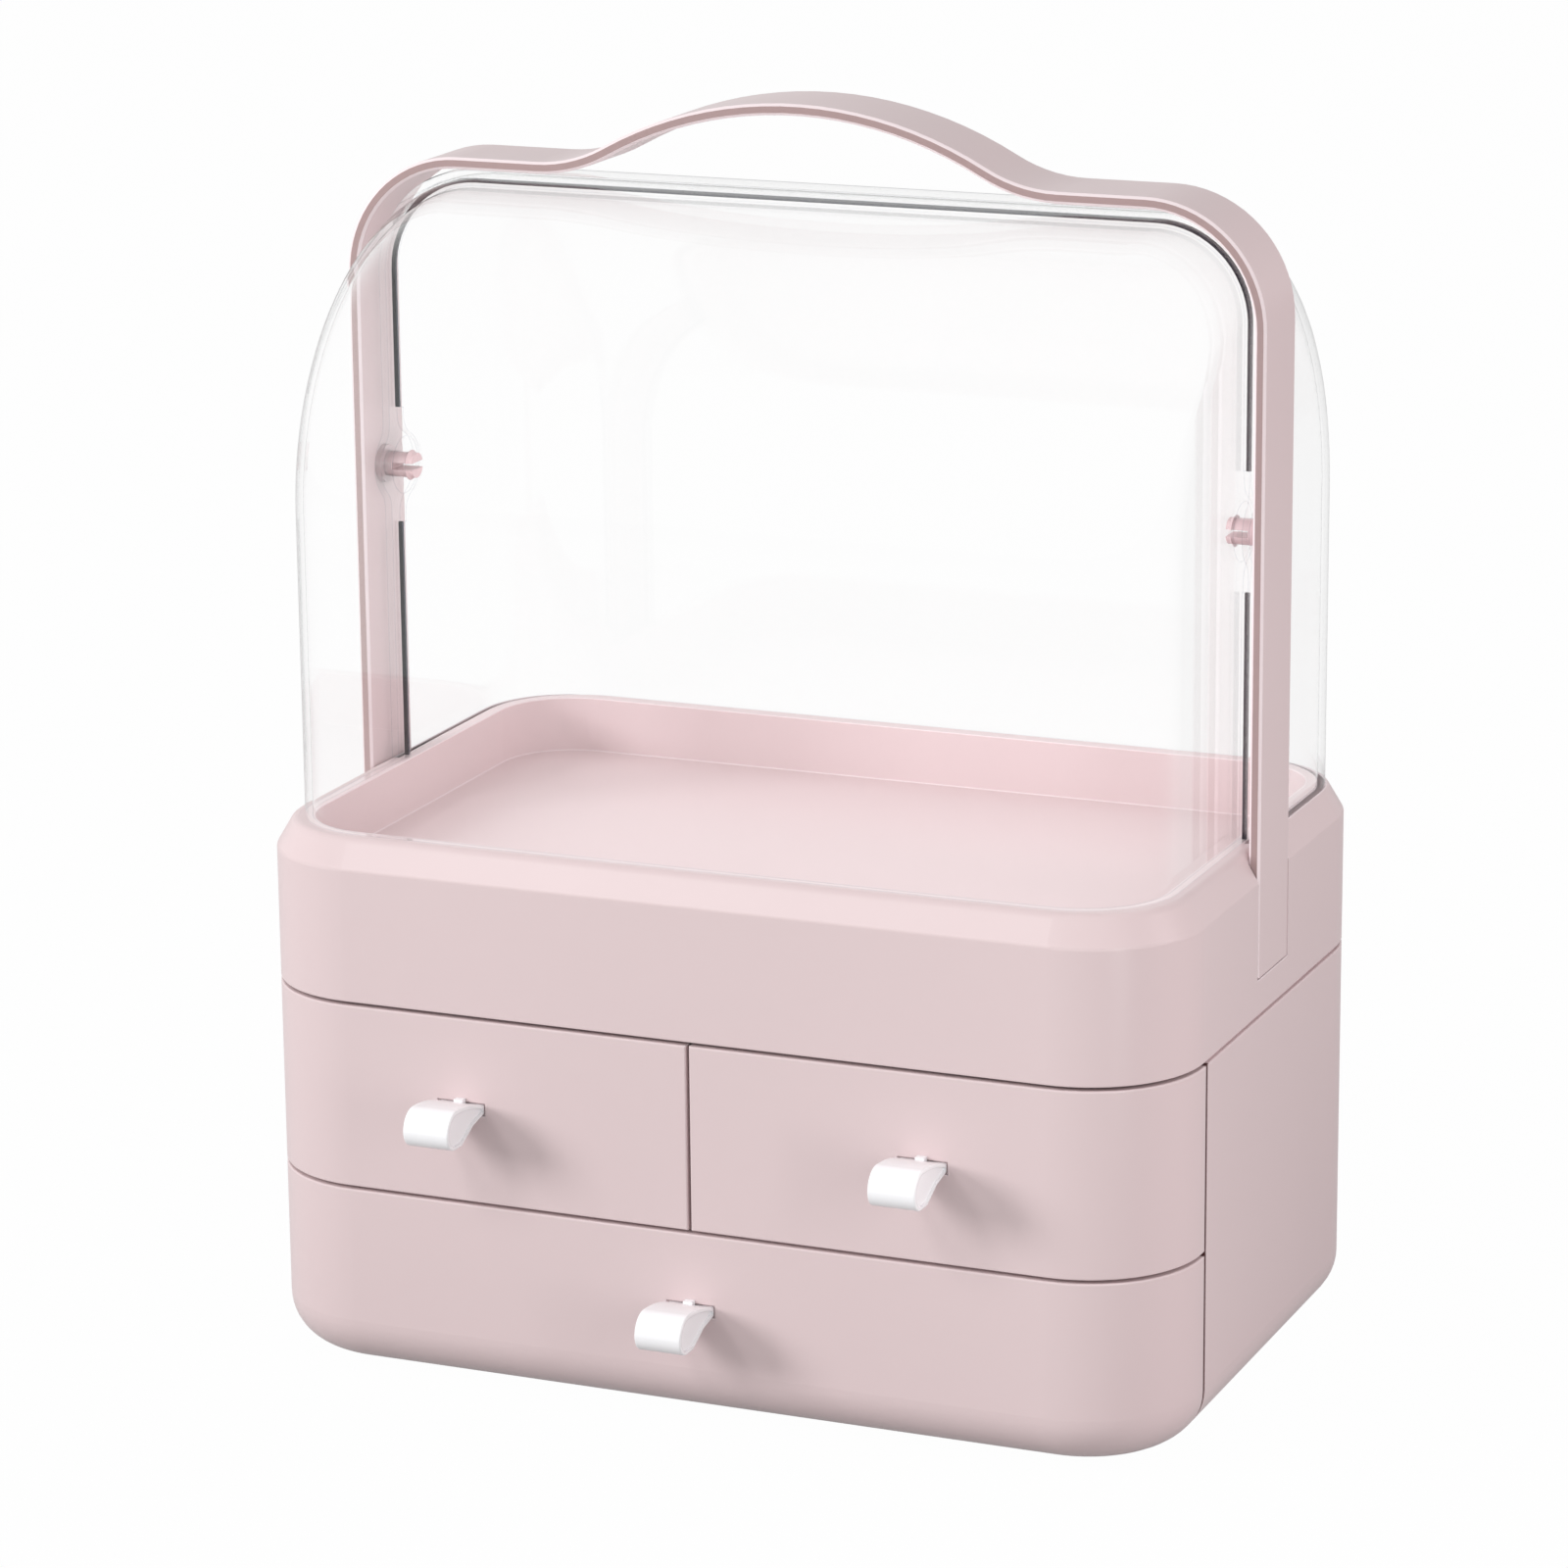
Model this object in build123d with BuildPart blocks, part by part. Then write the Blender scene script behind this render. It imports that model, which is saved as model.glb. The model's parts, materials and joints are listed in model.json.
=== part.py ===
from build123d import *
import math
import os

# Makeup storage case: drawers below, an open tray on top, a two-piece clear
# cover over the tray and a flat arched handle over the cover.
# Millimetres. +X is to the right, +Y to the back, +Z up.
# Every piece is drawn about the middle of the case, on the surface it stands on.
# save() then sets the whole back by half a pull's reach, so that the origin lies
# under the middle of everything, pulls included.

# ---- overall case -------------------------------------------------------
case_w = 300.0          # width over the side walls
case_d = 200.0          # depth, front to back
corner_r = 36.0         # plan radius of the four vertical corners
edge_r = 16.0           # rounding along the bottom edge
wall = 3.0              # moulded wall
foot_h = 2.0            # rubber feet
drawer_h = 59.5         # height of the lower drawer storey
upper_h = 59.2          # height of the upper drawer storey
tray_h = 51.3           # height of the tray above the drawers
seam = 1.1              # visible gap between the mouldings
seam_deep = 1.6         # how deep that gap runs into a wall
seam_r = 0.5            # rounding of the edges beside a seam
wrap = 39.0             # how far the drawer fronts run round the corner

# ---- inside the case ----------------------------------------------------
base_t = 3.0            # base plate
ring_w = 20.0           # inner flange of the shell that carries the plate
shelf_t = 2.5           # shelf between the storeys
shelf_up = 0.5          # top of the shelf above the seam between the storeys
ledge = 3.0             # little ledge that carries the shelf
divider_t = 2.5
run_gap = 0.6           # clearance round a drawer
lift_gap = 0.4          # clearance under a drawer
flange_w = 9.0          # inner flange at the top of the shell
tub_t = 2.0             # wall of a drawer tub
tub_drop = 4.0          # a tub ends this far under what lies over it

# ---- tray ---------------------------------------------------------------
rim_w = 12.0            # rim, outside to inside
rim_down = 9.0          # sloped shoulder of the rim, measured down
rim_in = 5.3            # and measured inwards
rim_top_r = 3.0         # its rounding into the top
rim_low_r = 1.6         # and into the wall, which leaves a soft crease
tray_deep = 18.0        # recess inside the rim
floor_t = 3.0
rebate = 0.8            # seat of the rear cover
seat_side = 0.15        # clearance round that seat

# ---- clear covers -------------------------------------------------------
cover_t = 2.4
cover_side = 2.0        # between the rear cover and the handle
cover_back = 4.5        # the rear cover stands this far inside the back of the case
cover_r = 30.0          # corner radius of the front cover
pivot_up = 95.0         # pivot line above the rim
nest_gap = 0.6          # between the front cover and the rear cover
seat_gap = 0.3          # under the front cover
overlap = 4.0           # the rear cover reaches over the front one
seal_t = 1.0            # dark strip on the front cover's rear edge, front to back
seal_w = 1.4            # and across, from the cover's outside inwards
lug_r = 10.5            # ears round the pivots
lug_blend = 7.0         # where an ear runs out into the edge of its cover
boss_r = 9.0
boss_t = 2.0
boss_edge = 0.7         # rounding of the boss

# ---- pivot pins ---------------------------------------------------------
pin_d = 8.0
pin_fit = 0.12          # on the diameter
barb = 0.8              # snap lip, on the radius
barb_t = 2.0
barb_gap = 0.3
collar = 2.0            # shoulder against the handle, on the radius
slot_w = 2.2            # split in the snap end
slot_deep = 7.0
pin_sink = 2.2          # into the handle

# ---- handle -------------------------------------------------------------
handle_w = 28.0         # front to back
handle_t = 3.6
handle_gap = 4.8        # between the front cover and the flat shoulders
handle_bend = 38.0      # outer radius of the top corners
handle_edge = 0.8
hump_h = 21.9           # how far the grip rises
hump_r = 125.0          # underside radius of the grip
hump_blend = 50.0       # underside radius where the grip meets the shoulders
handle_low = 39.0       # lower end of the handle, below the rim
notch_gap = 0.45
pad_t = 3.2             # pad behind each end
pad_more = 4.0          # that pad beyond the handle's edges

# ---- pulls --------------------------------------------------------------
pull_w = 15.0
pull_out = 25.0         # how far a pull stands out
pull_h = 12.0           # its height
pull_sole = 4.0         # flat stretch under its lip, front to back
root_low = 5.2          # root of the pull, above its lowest point
root_high = 8.2
pull_drop = 5.8         # lowest point of an upper pull, below the middle of its front
low_pull_drop = 1.4     # the same of the lower pull
pull_edge = 0.5         # rounding round its ends
dish = 0.7              # the ends of a pull are dished
dish_rim = 1.2
pocket = 0.8            # pocket for the root in the drawer front
pocket_gap = 0.5
tab_w = 3.0             # tab on top of the root
tab_h = 1.6
tab_out = 2.2

# ---- screws and feet ----------------------------------------------------
screw_d = 3.0
pull_screw_d = 2.0
screw_fit = 0.12        # on the diameter
head_t = 1.6            # screw heads
cross_w = 0.8
screw_bite = 8.0        # screw length in what it holds
foot_d = 14.0
foot_in = 40.0          # feet, inside the side walls
base_screw_y = 32.0     # base screws, in front of and behind the middle line
base_screw_mid = 8.0    # that middle line, behind the middle of the case

# ---- heights and places worked out from the sizes above -----------------
big = 3 * (case_w + case_d)
z_base = foot_h
z_mid = z_base + drawer_h
z_top = z_mid + upper_h
z_rim = z_top + tray_h
z_pivot = z_rim + pivot_up
z_floor = z_rim - tray_deep
z_under = z_floor - floor_t
z_plate = z_base + wall + base_t
z_shelf_top = z_mid + shelf_up
z_shelf = z_shelf_top - shelf_t
z_seat = z_top + seam / 2
z_flange = z_seat - wall
handle_in = case_w / 2 - handle_t
rear_w = 2 * (handle_in - cover_side)
cover_in_w = rear_w - 2 * cover_t
cover_w = cover_in_w - 2 * nest_gap
rear_reach = case_d / 2 - cover_back
cover_reach = rear_reach - cover_t - nest_gap
rear_r = cover_r + nest_gap + cover_t
z_shoulder = z_pivot + cover_reach + handle_gap
z_foot = z_rim - handle_low
y_front = -case_d / 2
y_shell = y_front + wrap + seam / 2
front_t = wall + run_gap
screw_hole = (screw_d + screw_fit) / 2
pull_hole = (pull_screw_d + screw_fit) / 2
head_r = screw_d
pull_head_r = 1.5 * pull_screw_d
pin_hole = (pin_d + pin_fit) / 2
pivot_axis = Axis((0, 0, z_pivot), (1, 0, 0))
lug_reach = lug_r + lug_blend + 1
pull_x = (case_w / 2 + seam / 2) / 2

post_in = wall + flange_w / 2 + 0.5
post_x = case_w / 2 - post_in
tray_holes = [
    (post_x, case_d * 0.25),
    (-post_x, case_d * 0.25),
    (post_x, y_shell + flange_w + 6),
    (-post_x, y_shell + flange_w + 6),
    (case_w * 0.2, case_d / 2 - post_in),
    (-case_w * 0.2, case_d / 2 - post_in),
]
base_x = case_w / 2 - edge_r - ring_w / 2
base_holes = [
    (base_x, base_screw_mid + base_screw_y),
    (-base_x, base_screw_mid + base_screw_y),
    (base_x, base_screw_mid - base_screw_y),
    (-base_x, base_screw_mid - base_screw_y),
]
foot_x = case_w / 2 - foot_in
foot_y = case_d / 2 - edge_r - ring_w / 2
foot_places = [(foot_x, foot_y), (-foot_x, foot_y), (foot_x, -foot_y), (-foot_x, -foot_y)]
handle_holes = [(-handle_w * 0.27, z_foot + 9), (handle_w * 0.27, z_foot + 9)]


# ---- plain shapes used several times ------------------------------------
def outline(inset, mode=Mode.ADD):
    # plan of the case drawn in by `inset`; its corners never get quite sharp
    r = max(corner_r - inset, 1)
    RectangleRounded(case_w - 2 * inset, case_d - 2 * inset, r, mode=mode)


def slab(inset, z0, z1):
    # that plan as a straight block
    with BuildPart() as s:
        with BuildSketch(Plane.XY.offset(z0)):
            outline(inset)
        extrude(amount=z1 - z0)
    return s.part


def band(outer, inner, z0, z1):
    # a closed band between two such plans
    with BuildPart() as s:
        with BuildSketch(Plane.XY.offset(z0)):
            outline(outer)
            outline(inner, Mode.SUBTRACT)
        extrude(amount=z1 - z0)
    return s.part


def hull(inset, z0, z1):
    # that plan with the rounded bottom edge of the case
    with BuildPart() as s:
        with BuildSketch(Plane.XY.offset(z_base + inset)):
            outline(inset)
        extrude(amount=z1 - z_base - inset)
        fillet(s.edges().group_by(Axis.Z)[0], edge_r - inset)
        with BuildSketch(Plane.XY.offset(z0)):
            Rectangle(big, big)
        extrude(amount=-big, mode=Mode.SUBTRACT)
    return s.part


def block(x0, x1, y0, y1, z0, z1):
    # plain box between two corners
    with BuildPart() as s:
        with BuildSketch(Plane.XY.offset(z0)):
            with Locations(((x0 + x1) / 2, (y0 + y1) / 2)):
                Rectangle(x1 - x0, y1 - y0)
        extrude(amount=z1 - z0)
    return s.part


def posts(points, radius, z0, z1):
    # round posts along Z at a list of (x, y) places
    with BuildPart() as s:
        with BuildSketch(Plane.XY.offset(z0)):
            with Locations(*points):
                Circle(radius)
        extrude(amount=z1 - z0)
    return s.part


def bars(points, radius, x0, x1):
    # round bars along X at a list of (y, z) places
    with BuildPart() as s:
        with BuildSketch(Plane.YZ.offset(x0)):
            with Locations(*points):
                Circle(radius)
        extrude(amount=x1 - x0)
    return s.part


def spikes(points, radius, y0, y1):
    # round bars along Y at a list of (x, z) places
    with BuildPart() as s:
        with BuildSketch(Plane.XZ.offset(-y1)):
            with Locations(*points):
                Circle(radius)
        extrude(amount=y1 - y0)
    return s.part


def on_outline(edge):
    # does the whole edge lie on the outside of the case, seen from above?
    for t in (0, 0.5, 1):
        p = edge @ t
        over_x = max(abs(p.X) - case_w / 2 + corner_r, 0)
        over_y = max(abs(p.Y) - case_d / 2 + corner_r, 0)
        if abs(math.hypot(over_x, over_y) - corner_r) > 0.01:
            return False
    return True


def level_edges(shape, z):
    # the outside edges of a shape that lie at one height
    level = shape.edges().filter_by_position(Axis.Z, z - 0.01, z + 0.01)
    return level.filter_by(on_outline)


def end_edges(face):
    # the edges of an upright end face, without its top edge
    return face.edges().sort_by(Axis.Z)[:-1]


# ---- the case -----------------------------------------------------------
def cabinet_shell():
    with BuildPart() as shell:
        add(hull(0, 0, z_seat))
        # the drawers fill the front
        add(block(-big, big, -big, y_shell, 0, big), mode=Mode.SUBTRACT)
        # the seam under the tray is cut into the outside of the wall
        add(band(-wall, seam_deep, z_seat - seam, z_seat), mode=Mode.SUBTRACT)
        front = shell.faces().filter_by(Axis.Y).sort_by(Axis.Y)[0]
        fillet(level_edges(shell, z_seat - seam) + end_edges(front), seam_r)
        add(hull(wall, z_base + wall, big), mode=Mode.SUBTRACT)
        # open in the middle of the underside
        add(slab(edge_r + ring_w, z_base, z_base + wall), mode=Mode.SUBTRACT)
        # the flange that the tray is screwed to, and the ledge under the shelf
        add(band(wall / 2, wall + flange_w, z_flange, z_seat))
        add(band(wall / 2, wall + ledge, z_shelf - ledge, z_shelf))
        add(band(-wall, seam_deep, z_seat - seam, z_seat), mode=Mode.SUBTRACT)
        add(block(-big, big, -big, y_shell, 0, big), mode=Mode.SUBTRACT)
        add(posts(tray_holes, screw_hole, z_flange, z_seat), mode=Mode.SUBTRACT)
        add(posts(base_holes, screw_hole, z_base, z_base + wall), mode=Mode.SUBTRACT)
        add(posts(base_holes, head_r + 0.2, z_base, z_base + head_t), mode=Mode.SUBTRACT)
    return shell.part


def base_plate():
    inset = edge_r + 0.3
    front_strip = slab(inset, z_base, z_plate) & block(-big, big, -big, y_shell - seam, 0, big)
    with BuildPart() as plate:
        add(slab(inset, z_base + wall, z_plate))
        # the front strip goes down to the level of the shell's underside
        add(front_strip)
        add(posts(base_holes, screw_hole, z_base, z_plate - 0.6), mode=Mode.SUBTRACT)
    return plate.part


def drawer_shelf():
    with BuildPart() as shelf:
        add(slab(wall + 0.1, z_shelf, z_shelf_top))
        add(block(-big, big, -big, y_shell, 0, big), mode=Mode.SUBTRACT)
        # between the drawer fronts it runs on to the front, a little narrower
        add(slab(front_t + run_gap, z_shelf, z_shelf_top))
    return shelf.part


def centre_divider():
    y0 = y_front + front_t + run_gap
    half = divider_t / 2
    return block(-half, half, y0, case_d / 2 - wall, z_shelf_top, z_flange)


def notch(x0, x1):
    # slot in the side of the tray that takes the lower end of the handle
    half = handle_w / 2 + notch_gap
    return block(x0, x1, -half, half, z_foot - notch_gap, big)


def rear_seat():
    # shallow step in the rim that the rear cover stands in
    gap = seat_side
    inner_reach = cover_reach + nest_gap - gap
    with BuildPart() as seat:
        with BuildSketch(Plane.XY.offset(z_rim - rebate)):
            RectangleRounded(rear_w + 2 * gap, 2 * (rear_reach + gap), rear_r + gap)
            RectangleRounded(
                cover_in_w - 2 * gap,
                2 * inner_reach,
                cover_r + nest_gap - gap,
                mode=Mode.SUBTRACT,
            )
            with Locations((0, -overlap - gap - big / 2)):
                Rectangle(big, big, mode=Mode.SUBTRACT)
        extrude(amount=big)
    return seat.part


def top_tray():
    post_r = flange_w / 2 + 0.5
    half = handle_w / 2 + pad_more
    pad_z0 = z_foot - pad_more
    pad_z1 = z_rim - rim_down
    with BuildPart() as tray:
        with BuildSketch(Plane.XY.offset(z_seat)):
            RectangleRounded(case_w, case_d, corner_r)
        extrude(amount=z_rim - z_seat)
        # the rim slopes down to a soft crease in the wall
        fillet(level_edges(tray, z_seat), seam_r)
        top = tray.faces().sort_by(Axis.Z)[-1]
        chamfer(top.edges(), length=rim_in, length2=rim_down, reference=top)
        fillet(level_edges(tray, z_rim - rim_down), rim_low_r)
        fillet(tray.edges().group_by(Axis.Z)[-1], rim_top_r)
        # the recess seen from above, the hollow under its floor and the hollow rim
        add(slab(rim_w, z_floor, big), mode=Mode.SUBTRACT)
        add(slab(wall, z_seat, z_under), mode=Mode.SUBTRACT)
        add(band(wall, rim_w - wall, z_under, z_rim - rim_down), mode=Mode.SUBTRACT)
        add(posts(tray_holes, post_r, z_seat, z_under + floor_t / 2))
        # pads behind the ends of the handle, and the slots that the ends sit in
        add(block(handle_in - pad_t, case_w / 2 - 1, -half, half, pad_z0, pad_z1))
        add(block(1 - case_w / 2, pad_t - handle_in, -half, half, pad_z0, pad_z1))
        add(notch(handle_in, big), mode=Mode.SUBTRACT)
        add(notch(-big, -handle_in), mode=Mode.SUBTRACT)
        add(rear_seat(), mode=Mode.SUBTRACT)
        add(posts(tray_holes, screw_hole, z_seat, z_seat + screw_bite + 1), mode=Mode.SUBTRACT)
        add(bars(handle_holes, screw_hole, -handle_in, handle_in), mode=Mode.SUBTRACT)
    return tray.part


# ---- the clear covers ---------------------------------------------------
def dome(width, reach, radius, z_low):
    # a full cover: straight up to the pivot line, then half round about it
    with BuildPart() as s:
        with BuildSketch(Plane.XY.offset(z_low)):
            RectangleRounded(width, 2 * reach, radius)
        extrude(amount=z_pivot - z_low)
        with BuildSketch(Plane.XY.offset(z_pivot)):
            RectangleRounded(width, 2 * reach, radius)
            with Locations((0, -reach)):
                Rectangle(2 * width, 2 * reach, mode=Mode.SUBTRACT)
        revolve(axis=pivot_axis, revolution_arc=180)
    return s.part


def cover_shell(width, reach, radius, z_low):
    # the same, hollow
    t = cover_t
    return dome(width, reach, radius, z_low) - dome(width - 2 * t, reach - t, radius - t, z_low - 1)


def ears(x0, x1, edge_y, inward):
    # round ears at both pivots, blended into walls that end at edge_y and run `inward`
    with BuildPart() as s:
        with BuildSketch(Plane.YZ.offset(x0)) as flat:
            with Locations((0, z_pivot)):
                Circle(lug_r)
            with Locations((edge_y + inward * lug_r, z_pivot)):
                Rectangle(2 * lug_r, 2 * lug_reach)
            corners = flat.vertices().filter_by(lambda v: abs(v.Y - z_pivot) < lug_reach - 0.1)
            fillet(corners, lug_blend)
        extrude(amount=x1 - x0)
    return s.part + mirror(s.part, about=Plane.YZ)


def bosses(x0, x1):
    # round bosses inside the ears, with a soft inner edge
    with BuildPart() as s:
        add(bars([(0, z_pivot)], boss_r, x0, x1))
        fillet(s.edges().group_by(Axis.X)[0], boss_edge)
    return s.part + mirror(s.part, about=Plane.YZ)


def front_cover():
    x1 = cover_w / 2
    x0 = x1 - cover_t
    with BuildPart() as cover:
        add(cover_shell(cover_w, cover_reach, cover_r, z_rim + seat_gap))
        add(block(-big, big, -seal_t, big, 0, big), mode=Mode.SUBTRACT)
        add(ears(x0, x1, 0, -1))
        add(bosses(x0 - boss_t, x0))
        add(bars([(0, z_pivot)], pin_hole, -big, big), mode=Mode.SUBTRACT)
    return cover.part


def front_cover_seal():
    # dark strip along the outer side of the rear edge, broken at the ears
    z_low = z_rim + seat_gap
    with BuildPart() as seal:
        add(dome(cover_w, cover_reach, cover_r, z_low))
        add(
            dome(cover_w - 2 * seal_w, cover_reach - seal_w, cover_r - seal_w, z_low - 1),
            mode=Mode.SUBTRACT,
        )
        add(block(-big, big, 0, big, 0, big), mode=Mode.SUBTRACT)
        add(block(-big, big, -big, -seal_t, 0, big), mode=Mode.SUBTRACT)
        z0 = z_pivot - lug_reach
        z1 = z_pivot + lug_reach
        add(block(-big, big, -big, big, z0, z1), mode=Mode.SUBTRACT)
    return seal.part


def rear_cover():
    x1 = rear_w / 2
    x0 = x1 - cover_t
    with BuildPart() as cover:
        add(cover_shell(rear_w, rear_reach, rear_r, z_rim - rebate))
        add(block(-big, big, -big, -overlap, 0, big), mode=Mode.SUBTRACT)
        add(ears(x0, x1, -overlap, 1))
        add(bars([(0, z_pivot)], pin_hole, -big, big), mode=Mode.SUBTRACT)
    return cover.part


def cover_pin(side):
    # collar against the handle, shank through both covers, split snap end
    x_tip = cover_w / 2 - cover_t - boss_t - barb_gap
    x_end = x_tip - barb_t
    x_collar = rear_w / 2 + seat_side
    r = pin_d / 2
    with BuildPart() as pin:
        add(bars([(0, z_pivot)], r, x_end, handle_in + pin_sink))
        add(bars([(0, z_pivot)], r + collar, x_collar, handle_in))
        with BuildSketch(Plane.XZ):
            with BuildLine():
                Polyline(
                    (x_end, z_pivot),
                    (x_end, z_pivot + r - barb),
                    (x_tip, z_pivot + r + barb),
                    (x_tip, z_pivot),
                    close=True,
                )
            make_face()
        revolve(axis=pivot_axis)
        add(
            block(0, x_end + slot_deep, -pin_d, pin_d, z_pivot - slot_w / 2, z_pivot + slot_w / 2),
            mode=Mode.SUBTRACT,
        )
    if side > 0:
        return pin.part
    return mirror(pin.part, about=Plane.YZ)


# ---- the handle ---------------------------------------------------------
def grip_line(out):
    # half of the grip, from its middle to the flat shoulder, `out` above the underside
    c_z = z_shoulder + hump_h - hump_r
    f_z = z_shoulder + hump_blend
    f_x = math.sqrt((hump_r + hump_blend) ** 2 - (f_z - c_z) ** 2)
    tilt = math.atan2(f_x, f_z - c_z)
    r1 = hump_r + out
    r2 = hump_blend - out
    top = (0, c_z + r1)
    mid = (r1 * math.sin(tilt / 2), c_z + r1 * math.cos(tilt / 2))
    joint = (r1 * math.sin(tilt), c_z + r1 * math.cos(tilt))
    bend = (f_x - r2 * math.sin(tilt / 2), f_z - r2 * math.cos(tilt / 2))
    flat = (f_x, f_z - r2)
    return top, mid, joint, bend, flat


def handle():
    x_out = case_w / 2
    x_bend = x_out - handle_bend
    z_bend = z_shoulder + handle_t - handle_bend
    r_in = handle_bend - handle_t
    top, mid, joint, bend, flat = grip_line(handle_t)
    low, low_mid, low_joint, low_bend, low_flat = grip_line(0)
    with BuildPart() as strap:
        with BuildSketch(Plane.XZ.offset(-handle_w / 2)):
            with BuildLine():
                ThreePointArc(top, mid, joint)
                ThreePointArc(joint, bend, flat)
                Line(flat, (x_bend, z_shoulder + handle_t))
                CenterArc((x_bend, z_bend), handle_bend, 0, 90)
                Line((x_out, z_bend), (x_out, z_foot))
                Line((x_out, z_foot), (handle_in, z_foot))
                Line((handle_in, z_foot), (handle_in, z_bend))
                CenterArc((x_bend, z_bend), r_in, 0, 90)
                Line((x_bend, z_shoulder), low_flat)
                ThreePointArc(low_flat, low_bend, low_joint)
                ThreePointArc(low_joint, low_mid, low)
                Line(low, top)
            make_face()
        extrude(amount=handle_w)
        mirror(about=Plane.YZ)
        front = strap.faces().sort_by(Axis.Y)[0]
        back = strap.faces().sort_by(Axis.Y)[-1]
        chamfer(front.edges() + back.edges(), handle_edge)
        add(bars([(0, z_pivot)], pin_hole, handle_in - 1, handle_in + pin_sink), mode=Mode.SUBTRACT)
        add(bars([(0, z_pivot)], pin_hole, -handle_in - pin_sink, 1 - handle_in), mode=Mode.SUBTRACT)
        screw_end = handle_in + handle_t * 0.7
        add(bars(handle_holes, screw_hole, -screw_end, screw_end), mode=Mode.SUBTRACT)
    return strap.part


# ---- drawers ------------------------------------------------------------
def pull_place(low):
    # the middle of a pull, its lowest height and the height of its screw
    screw_up = (root_low + root_high) / 2
    if low:
        z = (z_base + z_mid) / 2 - low_pull_drop
        return 0, z, z + screw_up
    z = (z_mid + z_top) / 2 - pull_drop
    return pull_x, z, z + screw_up


def tub_outside(low, inset):
    # a drawer tub's outside drawn in by `inset`
    if low:
        return hull(front_t + inset, z_plate + lift_gap + inset, z_shelf - ledge + 0.4)
    z0 = z_shelf_top + lift_gap + inset
    x0 = divider_t / 2 + run_gap + inset
    return slab(front_t + inset, z0, z_flange) & block(x0, big, -big, big, 0, big)


def drawer_tub(low):
    x, z, z_screw = pull_place(low)
    z_open = z_shelf - tub_drop if low else z_flange - tub_drop
    with BuildPart() as tub:
        add(tub_outside(low, 0))
        add(tub_outside(low, tub_t), mode=Mode.SUBTRACT)
        add(block(-big, big, -big, big, z_open, big), mode=Mode.SUBTRACT)
        add(spikes([(x, z_screw)], pull_hole, -big, 0), mode=Mode.SUBTRACT)
    return tub.part


def drawer_front(low):
    x, z, z_screw = pull_place(low)
    if low:
        outside = hull(0, 0, z_mid - seam / 2)
        inside = hull(front_t, 0, big)
    else:
        storey = slab(0, z_mid + seam / 2, z_seat - seam)
        outside = storey & block(seam / 2, big, -big, big, 0, big)
        inside = slab(front_t, 0, big)
    half = pull_w / 2 + pocket_gap
    with BuildPart() as front:
        add(outside)
        add(block(-big, big, y_shell - seam, big, 0, big), mode=Mode.SUBTRACT)
        # every edge beside a seam is softened
        end = front.faces().sort_by(Axis.Y)[-1]
        soft = level_edges(front, z_mid - seam / 2) + end_edges(end)
        if not low:
            middle = front.faces().sort_by(Axis.X)[0]
            soft = level_edges(front, z_mid + seam / 2) + level_edges(front, z_seat - seam)
            soft += end.edges().sort_by(Axis.X)[-1:] + middle.edges().sort_by(Axis.Y)[:1]
        fillet(soft, seam_r)
        add(inside, mode=Mode.SUBTRACT)
        # the lower edge ends in front of the base plate
        add(slab(edge_r - 1, 0, z_plate + lift_gap + 1), mode=Mode.SUBTRACT)
        # pocket for the root of the pull
        add(
            block(
                x - half,
                x + half,
                y_front - 1,
                y_front + pocket,
                z + root_low - pocket_gap,
                z + root_high + pocket_gap,
            ),
            mode=Mode.SUBTRACT,
        )
        add(spikes([(x, z_screw)], pull_hole, -big, 0), mode=Mode.SUBTRACT)
    return front.part


def pull_side(x, z, inset):
    # side view of a pull at x: a curled lip whose tip points forward and down
    back = y_front + pocket
    out = y_front - pull_out
    sole_front = y_front - 0.76 * pull_out
    sole_back = sole_front + pull_sole
    with BuildSketch(Plane.YZ.offset(x)) as s:
        with BuildLine():
            Line((back, z + root_low), (back, z + root_high))
            Line((back, z + root_high), (y_front, z + root_high))
            ThreePointArc(
                (y_front, z + root_high),
                (y_front - 0.36 * pull_out, z + 0.91 * pull_h),
                (y_front - 0.70 * pull_out, z + pull_h),
            )
            ThreePointArc(
                (y_front - 0.70 * pull_out, z + pull_h),
                (y_front - 0.92 * pull_out, z + 0.84 * pull_h),
                (out, z + 0.47 * pull_h),
            )
            ThreePointArc(
                (out, z + 0.47 * pull_h),
                (y_front - 0.93 * pull_out, z + 0.13 * pull_h),
                (sole_front, z),
            )
            Line((sole_front, z), (sole_back, z))
            Line((sole_back, z), (y_front - 0.28 * pull_out, z + 0.32 * pull_h))
            Line((y_front - 0.28 * pull_out, z + 0.32 * pull_h), (y_front, z + root_low))
            Line((y_front, z + root_low), (back, z + root_low))
        make_face()
        if inset:
            offset(amount=-inset)
    return s.sketch


def drawer_pull(low):
    x, z, z_screw = pull_place(low)
    half = pull_w / 2
    side = pull_side(x - half, z, 0)
    left_dish = extrude(pull_side(x - half, z, dish_rim), amount=dish)
    right_dish = extrude(pull_side(x + half - dish, z, dish_rim), amount=dish)
    tab = block(
        x - tab_w / 2,
        x + tab_w / 2,
        y_front - tab_out,
        y_front,
        z + root_high - 0.5,
        z + root_high + tab_h,
    )
    with BuildPart() as pull:
        extrude(side, amount=pull_w)
        ends = pull.faces().filter_by(Axis.X)
        fillet(ends.edges(), pull_edge)
        add(tab)
        add(left_dish, mode=Mode.SUBTRACT)
        add(right_dish, mode=Mode.SUBTRACT)
        y_deep = y_front - screw_bite
        add(spikes([(x, z_screw)], pull_hole, y_deep, 0), mode=Mode.SUBTRACT)
    return pull.part


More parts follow.
